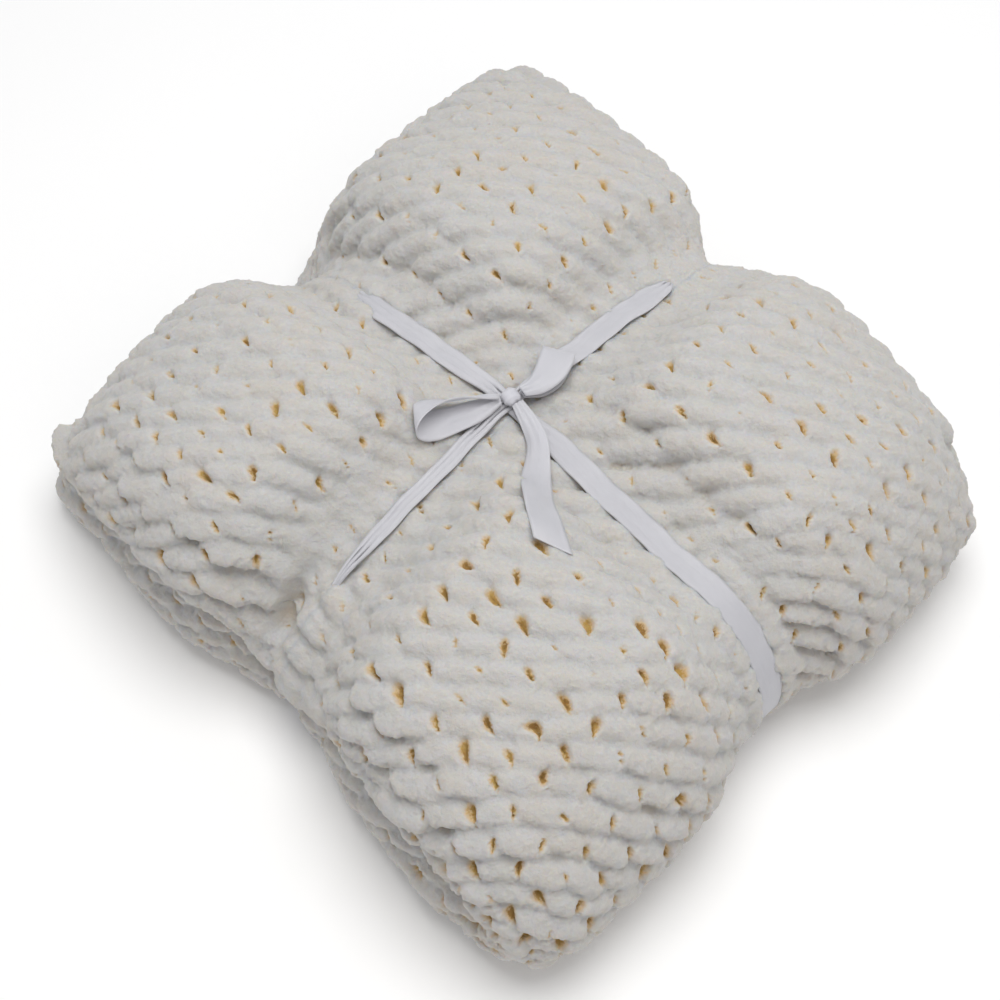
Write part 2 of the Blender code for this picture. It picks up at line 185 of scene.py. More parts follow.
LIP_START = 2.2  # how fast the first lip stitches rise
LIP_FADE = 0.022  # the last stretch, where they sink again
LIP_SUNK = 0.0130
Beside = namedtuple("Beside", "pitch along across off broad dive_in dive_out")
LEGS_BESIDE = (
    Beside(0.0250, 0.0175, 0.0012, 0.90, 1.08, 0.0080, 0.0080),  # rows that run along the ribbon
    Beside(0.0205, 0.0040, 0.0155, 0.30, 1.26, 0.0044, 0.0130),  # rows that end at it
)
RELIEF = -0.10  # how much more the crests and creases stand out than the strands make them
RELIEF_SIDE = 1.00  # the same down the sides
CREASE_LIMITS = (-0.0032, 0.0050)
NORMAL_ROUNDS = 16
Nip = namedtuple("Nip", "axis sign start end width")  # where the knit closes over the tight ribbon
NIPS = (
    Nip(0, -1, 0.120, 0.172, 0.0075),
    Nip(1, -1, 0.118, 0.184, 0.0040),
    Nip(1, +1, 0.128, 0.176, 0.0065),
)
VOXEL = 0.0020
Fuzz = namedtuple("Fuzz", "name scale detail strength")
FUZZ = (
    Fuzz("tufts", 0.0052, 2, 0.0020),
    Fuzz("pile", 0.0023, 1, 0.0017),
)
CORE_INSET = 0.010  # the body of the knit under the stitches: short of the edges, and thinner than a ply
CORE_THINNER = 0.018
PLUG_LOW = np.array((-HALF_X + 0.034, FOLD_Y + 0.030, 0.011))  # the inside, where nothing shows
PLUG_HIGH = np.array((TURN_X + 0.045, HALF_Y - 0.034, HEIGHT - 0.011))
GROUND_INSET = 0.012

# ---- the ribbon
EDGE_ROUND = 0.013
ROUNDS = {  # how far the flat plies reach on each side of the tie, and the radius that the ribbon turns round
    (0, -1): (HALF_X, EDGE_ROUND),
    (0, +1): (TURN_X + HEIGHT / 2, HEIGHT / 2),
    (1, -1): (HALF_Y, PAIR / 2),
    (1, +1): (HALF_Y, EDGE_ROUND),
}
RIBBON_WIDTH = 0.021
RIBBON = 0.0012
RIBBON_CLEAR = 0.0013
BAND_X_LENGTH = 1.11
BAND_Y_LENGTH = 1.02
GATHERED_WIDTH = 0.0095
GATHER_REACH = 0.055
GATHERED_MOST = 0.55
CROSS_LIFT = 0.0019
CROSS_REACH = 0.026
CROSS_RAMP = 2.2
WIDENS_FROM = PAIR + 0.036  # on the folded side the ribbon widens from this height down, over this drop
WIDENS_OVER = 0.026
PLEAT = 0.0011  # how far its folds stand up where it is gathered
EDGE_CURL = 0.0006
Sway = namedtuple("Sway", "reach by_length phases")  # how it strays from its line
SWAYS = (Sway(0.0006, 95.0, 1.0), Sway(0.0004, 213.0, 2.0))
BAND_RIPPLE = 0.00035
STRIP_RIPPLE = 0.0005
KNOT_SIZE = (0.01316, 0.0125, 0.0092)
KNOT_GAP = 0.0005
STRIP_STEPS = 72
ACROSS_STRIP = np.linspace(-1.0, 1.0, 11)
TAIL_SLANT = 0.0065
CUT_SHARE = 4.0  # the slanted cut takes a strip's last quarter
Stop = namedtuple("Stop", "x y rise width turn tilt cup")  # in mm and degrees, on lines from the knot
STOP_UNITS = (0.001, 0.001, 0.001, 0.001, 1, 1, 0.001)
BOW = {
    "bow_loop_left": (
        (-3.2, -6.1, 9, 7, -28, -8, 0.8),
        (-8.5, -19, 6.2, 15, -29, 0, 1.2),
        (-15.5, -33, 5.2, 20, -30, 3, 0.6),
        (-22.5, -47, 5, 21.5, -31, 5, 0),
        (-27.8, -56.2, 7.2, 21, -33, 10, 0),
        (-30.8, -57.2, 10.4, 20, -36, 28, 0),
        (-31.2, -49, 12.6, 18.5, -40, 46, 0),
        (-28, -36, 13.2, 17, -42, 57, 0.5),
        (-20.5, -23.5, 13, 13, -42, 56, 0.8),
        (-4.3, -6.6, 13.4, 7, -38, 36, 0.8),
    ),
    "bow_loop_right": (
        (3.4, 6.2, 8.8, 7, -8, 0, -0.8),
        (5.5, 16, 5.4, 14, 2, 0, -1),
        (4.5, 27.5, 4, 19, 14, 0, -0.6),
        (0.3, 39, 5, 21.5, 25, 0, 0),
        (-3.3, 46.2, 7.8, 22, 32, 0, 0),
        (-2.8, 46.2, 11.4, 22, 32, 0, 0),
        (2.2, 38.5, 14.6, 22, 26, 0, 0),
        (6.8, 27, 15, 20, 15, 0, 0.8),
        (7.4, 15.5, 13.8, 14, 2, 0, 1.2),
        (3.8, 6.1, 13.2, 7, -8, 0, 1),
    ),
    "ribbon_tail": (
        (6.3, -0.6, 10.4, 8, 80, 6, 1),
        (21, -3.8, 6.2, 12, 72, 10, 1.2),
        (32.5, -9.2, 6, 14, 55, 18, 1),
        (41.2, -18, 6, 16, 44, 22, 0.6),
        (52, -31, 5, 19, 40, 10, 0.4),
        (67, -45, 4, 21.5, 46, 0, 0),
        (83, -56, 3.6, 22, 53, 0, 0),
        (99, -66.5, 3.6, 22, 56, 0, 0),
    ),
}


# ---- shared curves
def unit(value):
    return np.clip(value, 0.0, 1.0)


def smooth(value):
    """From 0 to 1, level at both ends."""
    share = unit(value)
    return share * share * (3 - 2 * share)


def bell(offset, width):
    return np.exp(-((offset / width) ** 2))


def direction(vectors):
    return vectors / np.maximum(np.linalg.norm(vectors, axis=-1, keepdims=True), 1e-9)


def beside_tie(offset, width):
    return bell(np.maximum(np.abs(offset) - TIE_FLAT, 0.0), width)


def in_channel(offset):
    return 1 - smooth((np.abs(offset) - TIE_FLAT) / RECESS_SLOPE)


def top_height(x, y):
    spread = (x / HALF_X, y / HALF_Y)
    away = (y, x)
    fall = CROWN_FALL_2 * (x**2 + y**2) + CROWN_FALL_4 * (x**4 + y**4)
    trough = 1 - (1 - beside_tie(x, TROUGH_WIDTH)) * (1 - beside_tie(y, TROUGH_WIDTH))
    height = CROWN - fall - TROUGH_DEPTH * trough
    for side in SIDES:
        out = np.maximum(side.sign * spread[side.axis], 0.0)
        height = height - side.drop * out**4 * beside_tie(away[side.axis], DROP_WIDTH)
        height = height - side.brow * out**6
    return height


def eased(points):
    """Flat-ply points moved to where the tie, the plump knit and its weight bring them."""
    x, y, z = points[..., 0], points[..., 1], points[..., 2]
    past_turn = x - TURN_X
    x = np.where(past_turn > 0.0, TURN_X + past_turn * TURN_REACH / (HEIGHT / 2), x)
    spread = (x / HALF_X, y / HALF_Y)
    away = (y, x)
    level = z / HEIGHT
    corner = (spread[0] * spread[1]) ** 2
    reach = np.zeros_like(x)
    for quarter in QUARTERS:
        inside = (np.sign(x) == quarter.sign_x) & (np.sign(y) == quarter.sign_y)
        reach = np.where(inside, quarter.reach / hypot(HALF_X, HALF_Y), reach)
    moved = [x * (1 + reach * corner), y * (1 + reach * corner)]
    for side in SIDES:
        out = np.maximum(side.sign * spread[side.axis], 0.0)
        inward = side.pinch * out**3 * beside_tie(away[side.axis], PINCH_WIDTH)
        inward += TOP_LEAN * out**3 * level**3
        inward -= side.foot * out**5 * (1 - level)
        moved[side.axis] -= side.sign * inward
        bow = (4.0 * out * np.maximum(1 - out, 0.0)) ** 2 * bell(away[side.axis], SWAY_WIDTH)
        moved[1 - side.axis] += side.sway * bow * level**2
    for tuck in TUCKS:
        out = np.maximum(tuck.sign * spread[tuck.axis], 0.0)
        beside = bell(away[tuck.axis] - tuck.at, tuck.width)
        moved[tuck.axis] -= tuck.sign * tuck.reach * out**4 * beside * level
    pull = level**2 * np.exp(-(x**2 + y**2) / PULL_WIDTH**2)
    moved = [moved[axis] + PULL[axis] * pull for axis in (0, 1)]
    channel = 1 - (1 - in_channel(x)) * (1 - in_channel(y))
    height = level * top_height(x, y) + (1 - level) * RECESS * channel
    return np.stack([moved[0] + TIE.x, moved[1] + TIE.y, height], axis=-1)


# ---- fabric coordinates
def round_turn(past, radius, bend):
    """Places `past` the start of a sheet's turn: how far out they lie, round it and back, and how high."""
    back = pi * radius - past
    angle = np.clip(past / radius, 0.0, pi)
    out = np.where(past < 0.0, past, np.where(back < 0.0, back, bend * np.sin(angle)))
    return out, bend * np.cos(angle)


def round_last_fold(s, depth, radius):
    """x and z of places s along the last fold, over the top, round the turn and back under."""
    out, up = round_turn(s - TURN_X, radius, HEIGHT / 2 - depth)
    return TURN_X + out, HEIGHT / 2 + up


def round_first_fold(t, depth, radius):
    """y and depth of places t across the first fold, from the free edge at +Y, round and back."""
    out, up = round_turn(t - FLAT_T, radius, PAIR / 2 - depth)
    return FOLD_Y - out, PAIR / 2 - up


def outer_face(s, t):
    """The outermost face of the throw, all the way round both folds."""
    y, depth = round_first_fold(t, 0.0, PAIR / 2)
    x, z = round_last_fold(s, depth, HEIGHT / 2)
    return eased(np.stack([x, y + 0.0 * x, z], axis=-1))


def wander(s, t):
    """Places on the fabric moved by slow waves, because no row of hand knitting runs straight."""
    for wave in WAVES:
        swing = np.sin(wave.by_s * s + wave.by_t * t + wave.start)
        s, t = s + wave.along * swing, t + wave.across * swing
    return s, t


def edge_at_x(over, t, q):
    """The free edge at -X of the upper or lower pair of plies: along t, and q across the ply."""
    y, depth = round_first_fold(t, PLY / 2 + q, (PLY + PLY_GAP) / 2)
    z = HEIGHT - depth if over else depth
    return eased(np.stack([0.0 * y - HALF_X, y, z], axis=-1))


def edge_at_y(depth, along, q):
    """The free edge at +Y of the ply whose middle lies at this depth: along from -X, and q across."""
    x, z = round_last_fold(along - HALF_X, depth + q, HEIGHT / 2 - depth)
    return eased(np.stack([x, 0.0 * x + HALF_Y, z], axis=-1))


def frames(face, a, b, outward):
    """Points and unit normals of a face, and how far apart steps across it lie."""
    step = 0.0008
    along = face(a + step, b) - face(a - step, b)
    across = (face(a, b + step) - face(a, b - step)) / (2 * step)
    return face(a, b), direction(np.cross(along, across) * outward), np.linalg.norm(across, axis=-1)


# ---- strands
def bezier(p0, p1, p2, p3, steps):
    """Points of cubic curves: each control point is an array of shape (legs, 2)."""
    t = np.linspace(0.0, 1.0, steps)[None, :, None]
    p0, p1, p2, p3 = (p[:, None, :] for p in (p0, p1, p2, p3))
    return (1 - t) ** 3 * p0 + 3 * (1 - t) ** 2 * t * p1 + 3 * (1 - t) * t**2 * p2 + t**3 * p3


def tubes(centre, normal, wide, deep):
    """Closed tubes round lines of shape (legs, steps, 3), with half widths across and along N."""
    ahead = direction(np.gradient(centre, axis=1))
    side = direction(np.cross(ahead, normal))
    up = np.cross(side, ahead)
    angle = np.linspace(0.0, 2 * pi, LEG_SIDES, endpoint=False)
    ring = (
        side[:, :, None, :] * (wide[:, :, None] * np.cos(angle))[..., None]
        + up[:, :, None, :] * (deep[:, :, None] * np.sin(angle))[..., None]
    )
    return centre[:, :, None, :] + ring


def tube_faces(legs, steps, sides):
    """Quads round the tubes, and a fan of triangles on each end ring."""
    leg = np.arange(legs)[:, None, None] * steps * sides
    ring = leg + np.arange(steps - 1)[None, :, None] * sides
    one, two = ring + np.arange(sides), ring + (np.arange(sides) + 1) % sides
    quads = np.stack([one, two, two + sides, one + sides], -1)
    fan = np.arange(1, sides - 1)
    first = leg + np.stack([0 * fan, fan + 1, fan], -1)
    last = leg + (steps - 1) * sides + np.stack([0 * fan, fan, fan + 1], -1)
    return [*quads.reshape(-1, 4).tolist(), *first.reshape(-1, 3).tolist(), *last.reshape(-1, 3).tolist()]


def mesh_from(name, points, faces):
    mesh = bpy.data.meshes.new(name)
    mesh.from_pydata(points.reshape(-1, 3).tolist(), [], faces)
    return mesh


def lattice(low, high, offset):
    """Places of the knit's lattice, moved by an offset, that lie in a rectangle of the fabric."""
    span = int(2 * (high - low).max() / WALE[1]) + 4
    i, j = np.meshgrid(np.arange(-span, span), np.arange(-span, span), indexing="ij")
    place = (PHASE + i[..., None] * COURSE + j[..., None] * WALE + offset).reshape(-1, 2)
    return place[((place > low) & (place < high)).all(axis=1)]


def face_span():
    """The rectangle of the fabric that shows as the outer face."""
    high = (2 * TURN_X + pi * HEIGHT / 2 + HALF_X - MARGIN, FLAT_T + pi * PAIR / 2 + 2 * MARGIN)
    return np.array((-HALF_X + MARGIN, MARGIN)), np.array(high)


def flat_place(s, t):
    """Where places on the outer face lie in the flat plies' plan, from the tie."""
    return round_last_fold(s, 0.0, HEIGHT / 2)[0], round_first_fold(t, 0.0, PAIR / 2)[0]


def tapered(taper):
    """How far into its sinking ends a leg's points are, and its width and depth for yarn of radius 1."""
    share = np.abs(ALONG_LEG)
    ends = unit((share - taper.stay) / (1 - taper.stay))
    round_end = np.sqrt(np.clip(1 - share**9, 0.05, 1.0))
    wide = (taper.broad - taper.narrower * ends**taper.broad_power) * round_end
    return ends, wide, (1 - taper.shallower * ends**taper.deep_power) * round_end


def face_legs(rng):
    """One plump leg of yarn for each stitch of the outer face."""
    centre = lattice(*face_span(), (COURSE - WALE) / 2)
    count = len(centre)
    centre = centre + rng.normal(0.0, FACE_STRAY.place, (count, 2))
    spin = rng.normal(0.0, FACE_STRAY.turn, count)

    def turned(step):
        x = step[0] * np.cos(spin) - step[1] * np.sin(spin)
        return np.stack([x, step[0] * np.sin(spin) + step[1] * np.cos(spin)], 1)

    reach, bend = turned(LEG_REACH), turned(LEG_BEND)
    line = bezier(centre - reach, centre - reach + bend, centre + reach - bend, centre + reach, LEG_STEPS)
    s, t = wander(line[..., 0], line[..., 1])
    place, normal, _ = frames(outer_face, s, t, -1.0)
    height, facing = place[..., 2], normal[..., 2]
    plump = YARN * (1 + rng.normal(0.0, FACE_STRAY.plump, (count, 1)))
    ends, wide, deep = tapered(FACE_TAPER)
    wide, deep = plump * wide, plump * deep
    x, y = flat_place(s, t)
    half = PRESS_HALF - PRESS_LESS * unit(height / PRESS_TOP)
    press = np.maximum(pressed(x, half), pressed(y, half))
    low = unit((LOW_TOP - height) / LOW_SPAN)
    steep = unit((0.85 - facing) / 0.5) * outer_side(place)
    depth = deep - PROUD + rng.normal(0.0, FACE_STRAY.off, (count, 1)) + RIBBON_PRESS * press
    depth = depth + (DIVE + DIVE_SIDE * steep) * ends**1.5
    depth = depth + (PROUD + 0.0002) * low * (facing < -0.5)
    depth = depth - RECESS * np.maximum(channel_bank(x), channel_bank(y)) * low
    return place - normal * depth[..., None], normal, wide, deep


def channel_bank(offset):
    """1 beside the ribbon in the underside's channel, where the soft knit settles onto the ground."""
    return in_channel(offset) * unit((np.abs(offset) - BANK_START) / BANK_SLOPE)


def pressed(offset, half):
    """How far the ribbon presses the yarn down: 1 under it, and a slight swell beside it."""
    return np.exp(-((offset / half) ** 4)) - 0.16 * bell(np.abs(offset) - 2 * half, 0.010)


def outer_side(points):
    """1 on the bundle's outer sides, and 0 on its top and in the valleys under the ribbon."""
    reach = np.maximum(np.abs(points[..., 0] - TIE.x), np.abs(points[..., 1] - TIE.y))
    return unit((reach - SIDE_START) / SIDE_SPAN)


def edge_legs(rng, face, length, outward):
    """The chain of stitches that finishes a free edge: two slanted legs a stitch."""
    length -= 2 * EDGE_SHORT
    count = int(length / EDGE_PITCH)
    pitch = length / count
    middle = EDGE_SHORT + (np.arange(count)[:, None] + 0.5) * pitch
    off = sum(factor * ALONG_LEG**power for power, factor in enumerate(EDGE_LINE))
    a, b = [], []
    for side in (-1.0, 1.0):
        drift = rng.normal(0.0, EDGE_STRAY.place, (count, 1))
        a.append(middle + 0.70 * pitch * ALONG_LEG + drift)
        b.append(side * off + drift)
    a, b = np.concatenate(a), np.concatenate(b)
    place, normal, squash = frames(face, a, b, outward)
    plump = YARN * (0.98 + rng.normal(0.0, EDGE_STRAY.plump, (len(a), 1)))
    ends, wide, deep = tapered(EDGE_TAPER)
    wide, deep = plump * np.clip(squash, 0.45, 1.0) * wide, plump * deep
    depth = deep - EDGE_PROUD + EDGE_DIVE * ends**1.5
    return place - normal * depth[..., None], normal, wide, deep


def beside_ribbon(axis, sign):
    """The surface that the ribbon follows from the tie down one side: out along it, and across."""
    half, radius = ROUNDS[axis, sign]
    corner, quarter = half - radius, radius * pi / 2
    straight = HEIGHT - 2 * radius

    def face(out, offset):
        top = np.clip((out - corner) / radius, 0.0, pi / 2)
        down = np.clip(out - corner - quarter, 0.0, straight)
        base = np.clip((out - corner - quarter - straight) / radius, 0.0, pi / 2)
        reach = sign * (np.minimum(out, corner) + radius * (np.sin(top) + np.cos(base) - 1.0))
        z = HEIGHT - radius * (1 - np.cos(top)) - down - radius * np.sin(base)
        place = (reach, offset, z) if axis == 0 else (offset, reach, z)
        return eased(np.stack(np.broadcast_arrays(*place), axis=-1))

    if radius > EDGE_ROUND:
        return face, corner + quarter + straight + 0.85 * quarter
    return face, corner + quarter + 0.018


def lip_legs(rng):
    """The plump stitches that swell up on each side of the tight ribbon, and over its edges."""
    legs = []
    for lip in LIPS:
        face, end = beside_ribbon(lip.axis, lip.sign)
        end = lip.start + (end - lip.start) * lip.last
        outward = lip.sign if lip.axis == 0 else -lip.sign
        rule = LEGS_BESIDE[lip.axis]
        count = max(1, round((end - lip.start) / rule.pitch))
        for place in lip.start + (end - lip.start) * (np.arange(count) + 0.5) / count:
            grow = (place - lip.start) / (lip.full - lip.start)
            plump = LIP_YARN * (1 + rng.normal(0.0, LIP_STRAY.plump))
            clear = lip.wide + (lip.clear - lip.wide) * smooth(grow) + rng.normal(0.0, LIP_STRAY.off)
            out = place + rng.normal(0.0, LIP_STRAY.place) + rule.along * ALONG_LEG
            offset = lip.across * (clear + plump * rule.off + rule.across * (1 + ALONG_LEG))
            here, normal, _ = frames(face, out, offset, outward)
            sunk = unit(1 - grow * LIP_START) + unit((place - end) / LIP_FADE + 1.0) ** 2
            ends, wide, deep = tapered(LIP_TAPER._replace(broad=rule.broad))
            wide, deep = plump * wide, plump * deep
            dive = np.where(ALONG_LEG < 0.0, rule.dive_in, rule.dive_out) * ends**1.5
            depth = deep + dive - LIP_PROUD - lip.tall * smooth(grow) + LIP_SUNK * sunk
            legs.append((here - normal * depth[:, None], normal, wide, deep))
    return [np.array(values) for values in zip(*legs)]


def all_strands():
    """Every visible strand of the knit as one mesh of closed tubes."""
    rng = np.random.default_rng(SEED)
    parts = [face_legs(rng), lip_legs(rng)]
    length = 2 * FLAT_T + pi * (PLY + PLY_GAP) / 2
    for over, outward in ((True, -1.0), (False, 1.0)):
        parts.append(edge_legs(rng, partial(edge_at_x, over), length, outward))
    for depth in (PLY / 2, PAIR - PLY / 2):
        length = 2 * (TURN_X + HALF_X) + pi * (HEIGHT / 2 - depth)
        parts.append(edge_legs(rng, partial(edge_at_y, depth), length, 1.0))
    rings = np.concatenate([tubes(*part) for part in parts])
    return mesh_from("strands", rings, tube_faces(*rings.shape[:3]))


# ---- object helpers
def new_object(name, data):
    obj = bpy.data.objects.new(name, data)
    bpy.context.scene.collection.objects.link(obj)
    return obj


def settle(obj):
    """Applies an object's modifiers."""
    bpy.context.view_layer.update()
    graph = bpy.context.evaluated_depsgraph_get()
    made = bpy.data.meshes.new_from_object(obj.evaluated_get(graph))
    old = obj.data
    obj.modifiers.clear()
    obj.data = made
    made.name = obj.name
    bpy.data.meshes.remove(old)


def thicken(obj, thickness, offset=0.0):
    sheet = obj.modifiers.new("thickness", "SOLIDIFY")
    sheet.thickness = thickness
    sheet.offset = offset
    settle(obj)


def values_of(items, name, width=3, kind=np.float32):
    """One property of a mesh's vertices, edges or faces, a row for each."""
    flat = np.empty(len(items) * width, kind)
    items.foreach_get(name, flat)
    return flat.reshape(-1, width)


def points_of(mesh):
    return values_of(mesh.vertices, "co").astype(float)


def edge_ends(mesh):
    return values_of(mesh.edges, "vertices", 2, np.int32).T


def set_points(mesh, points):
    mesh.vertices.foreach_set("co", points.astype(np.float32).ravel())
    mesh.update()


def put_attribute(mesh, name, values):
    layer = mesh.attributes.new(name, "FLOAT", "POINT")
    layer.data.foreach_set("value", np.asarray(values, np.float32))


def clad(obj, material):
    """Smooth shading, and this material alone."""
    obj.data.shade_smooth()
    obj.data.materials.clear()
    obj.data.materials.append(material)


def written(shape, name):
    """A bmesh as a new mesh."""
    mesh = bpy.data.meshes.new(name)
    shape.to_mesh(mesh)
    shape.free()
    return mesh


def grid_mesh(name, points, closed=False, turned=False):
    """Quads through points of shape (rows, columns, 3): an open sheet, or a closed band, or turned over."""
    rows, cols, _ = points.shape
    r, c = np.meshgrid(np.arange(rows - 1 + closed), np.arange(cols - 1), indexing="ij")
    one, two = r * cols + c, (r + 1) % rows * cols + c
    quads = np.stack([one, one + 1, two + 1, two], -1).reshape(-1, 4)[:, :: -1 if turned else 1]
    return mesh_from(name, points, quads.tolist())


def folded_plies(name, inset, steps):
    """The middle of the cloth as an open sheet, folded twice, `inset` short of its free edges."""
    mid = (PLY + PLY_GAP) / 2
    y, depth = round_first_fold(np.linspace(inset, 2 * FLAT_T + pi * mid - inset, steps), PLY / 2, mid)
    radius = HEIGHT / 2 - PAIR / 2
    rows = []
    for s in np.linspace(-HALF_X + inset, 2 * TURN_X + HALF_X + pi * radius - inset, steps):
        x, z = round_last_fold(np.full_like(y, s), depth, radius)
        rows.append(np.stack([x, y, z], -1))
    return new_object(name, grid_mesh(name, np.array(rows)))


# ---- the knit's skin
def make_plug():
    """The inside of the bundle, where nothing shows."""
    shape = bmesh.new()
    bmesh.ops.create_cube(shape, size=2.0)
    bmesh.ops.subdivide_edges(shape, edges=shape.edges, cuts=15, use_grid_fill=True)
    mesh = written(shape, "plug")
    set_points(mesh, eased((PLUG_LOW + PLUG_HIGH) / 2 + points_of(mesh) * (PLUG_HIGH - PLUG_LOW) / 2))
    return new_object("plug", mesh)


def join(objects, name):
    shape = bmesh.new()
    for obj in objects:
        shape.from_mesh(obj.data)
    mesh = written(shape, name)
    for obj in objects:
        bpy.data.objects.remove(obj, do_unlink=True)
    return new_object(name, mesh)


def make_knit(voxel):
    """The raised stitches and the body of the knit under them, as one skin."""
    core = folded_plies("core", CORE_INSET, 90)
    thicken(core, PLY - CORE_THINNER)
    set_points(core.data, eased(points_of(core.data)))
    knit = join([new_object("strands", all_strands()), core, make_plug()], "knit")
    remesh = knit.modifiers.new("one skin", "REMESH")
    remesh.mode = "VOXEL"
    remesh.voxel_size = voxel
    remesh.use_smooth_shade = True
    soften = knit.modifiers.new("plush", "SMOOTH")
    soften.factor = 0.5
    soften.iterations = 1
    for fuzz in FUZZ:
        cloud = bpy.data.textures.new(fuzz.name, "CLOUDS")
        cloud.noise_scale = fuzz.scale
        cloud.noise_depth = fuzz.detail
        raised = knit.modifiers.new(fuzz.name, "DISPLACE")
        raised.texture = cloud
        raised.texture_coords = "GLOBAL"
        raised.strength = fuzz.strength
    settle(knit)
    keep_outer_skin(knit.data)
    return knit


def keep_outer_skin(mesh):
    """Drops the closed hollows left inside, so that only the outside is kept."""
    one, two = edge_ends(mesh)
    label = np.arange(len(mesh.vertices))
    settled = False
    while not settled:
        low = np.minimum(label[one], label[two])
        new = label.copy()
        for ends in (one, two, label[one], label[two]):
            np.minimum.at(new, ends, low)
        new = new[new]
        settled = (new == label).all()
        label = new
    shape = bmesh.new()
    shape.from_mesh(mesh)
    shape.verts.ensure_lookup_table()
    drop = [shape.verts[i] for i in np.flatnonzero(label != np.bincount(label).argmax())]
    bmesh.ops.delete(shape, geom=drop, context="VERTS")
    shape.to_mesh(mesh)
    shape.free()


def in_quarter(quarter, x, y):
    return ((x >= 0.0) == (quarter.sign_x > 0)) & ((y >= 0.0) == (quarter.sign_y > 0))


def open_eyes(mesh):
    """Presses the small eyes between the stitches into the skin; returns how deep in one each point is."""
    rng = np.random.default_rng(SEED + 1)
    points = points_of(mesh)
    eye_mask = np.zeros(len(points))
    push = np.zeros_like(points)
    tree = KDTree(len(points))
    for i, point in enumerate(points):
        tree.insert(point, i)
    tree.balance()
    places = lattice(*face_span(), np.zeros(2))
    places = places + rng.normal(0.0, EYE.stray, places.shape)
    s, t = wander(places[:, 0], places[:, 1])
    here, normal, _ = frames(outer_face, s, t, -1.0)
    step = 0.2 * EYE_AXIS
    ahead = direction(outer_face(s + step[0], t + step[1]) - outer_face(s - step[0], t - step[1]))
    side = np.cross(normal, ahead)
    for k, (x, y) in enumerate(zip(*flat_place(s, t))):
        quarter = next(quarter for quarter in QUARTERS if in_quarter(quarter, x, y))
        near_tie = 1 - 0.45 * max(beside_tie(x, 0.02), beside_tie(y, 0.02))
        grow = quarter.open * near_tie * (0.28 + 0.90 * rng.random() ** 1.2)
        long, wide, deep = EYE.long * (0.45 + 0.55 * grow), EYE.wide * grow, EYE.deep * min(1.0, 0.3 + grow)
        lean, curl, taper = rng.normal(0.0, EYE_SPREAD)
        found = tree.find_range(Vector(here[k] - normal[k] * 0.003), EYE.reach)
        if not found:
            continue
        index = np.array([item[1] for item in found])
        away = points[index] - here[k]
        a = away @ (ahead[k] * cos(lean) + side[k] * sin(lean))
        b = away @ (side[k] * cos(lean) - ahead[k] * sin(lean)) - curl * wide * (a / long) ** 2
        narrow = np.clip(1 - (0.65 + taper) * a / long, 0.26, 1.6)
        inside = np.exp(-(np.abs(a / long) ** 2.6) - np.abs(b / (wide * narrow)) ** 2.2)
        shell = bell(np.maximum(np.abs(away @ normal[k] + EYE.under) - EYE.shell, 0.0), EYE.shell)
        inside = inside * shell * min(1.0, 0.42 + grow)
        push[index] -= normal[k] * (deep * inside)[:, None]
        eye_mask[index] = np.maximum(eye_mask[index], inside)
    set_points(mesh, points + push)
    return eye_mask


def even_normals(mesh):
    """Unit normals averaged over neighbours, so that they follow the cloth and not its stitches."""
    normal = values_of(mesh.vertices, "normal").astype(float)
    one, two = edge_ends(mesh)
    count = len(normal)
    for _ in range(NORMAL_ROUNDS):
        total = 2 * normal
        for axis in range(3):
            total[:, axis] += np.bincount(one, normal[two, axis], count)
            total[:, axis] += np.bincount(two, normal[one, axis], count)
        normal = direction(total)
    return normal


def deepen(mesh, depth):
    """Plumper crests and deeper creases, more so down the sides; returns the new depths."""
    normal = even_normals(mesh)
    side = unit((0.80 - normal[:, 2]) / 0.55) * (normal[:, 2] > -0.5)
    side = side * np.clip(0.26 - 0.90 * normal[:, 1], 0.12, 1.0) * outer_side(points_of(mesh))
    move = (RELIEF + (RELIEF_SIDE - RELIEF) * side) * np.clip(depth - 0.0002, *CREASE_LIMITS)
    set_points(mesh, points_of(mesh) - normal * move[:, None])
    return depth + move


def slump(mesh):
    """The near quarter's soft fold bulges out a little further than the plies beside it."""
    points = points_of(mesh)
    x, y = points[:, 0] - TIE.x, points[:, 1] - TIE.y
    points[:, 1] -= SLUMP.reach * bell(x - SLUMP.at, SLUMP.width) * unit((-y - SLUMP.from_y) / SLUMP.over)
    set_points(mesh, points)


def cleft_share(points, width):
    """1 along the deep cleft that the tight ribbon draws into the upper plies of the folded side."""
    x, y = points[:, 0] - TIE.x, points[:, 1] - TIE.y
    inside = bell(x - CLEFT.at, width) * unit((-y - CLEFT.from_y) / CLEFT.over)
    return inside * unit((points[:, 2] - PAIR) / CLEFT.above)


def part_lobes(mesh, depth):
    """The knit drawn into the cleft; returns the new depths, which count half the cleft's depth for the
    painted shade in it.
    """
    points = points_of(mesh)
    inside = cleft_share(points, CLEFT.width)
    set_points(mesh, points - even_normals(mesh) * (CLEFT.deep * inside)[:, None])
    return depth + 0.5 * CLEFT.deep * inside


def depth_below(mesh, solid):
    """How far each point lies under the smooth surface of the solid."""
    tree = BVHTree.FromPolygons([v.co for v in solid.vertices], [p.vertices for p in solid.polygons])
    depth = np.empty(len(mesh.vertices))
    for i, vert in enumerate(mesh.vertices):
        near, normal, _, _ = tree.find_nearest(vert.co)
        depth[i] = (near - vert.co).dot(normal)
    return depth


def tucked(points):
    """1 where a tuck has drawn the knit in from the solid's surface."""
    share = np.zeros(len(points))
    for tuck in TUCKS:
        out = tuck.sign * (points[:, tuck.axis] - TIE[tuck.axis]) / (HALF_X, HALF_Y)[tuck.axis]
        beside = bell(points[:, 1 - tuck.axis] - TIE[1 - tuck.axis] - tuck.at, 1.3 * tuck.width)
        share += unit(out) ** 2 * beside * unit(points[:, 2] / 0.05)
    return unit(1.6 * share - 0.2)


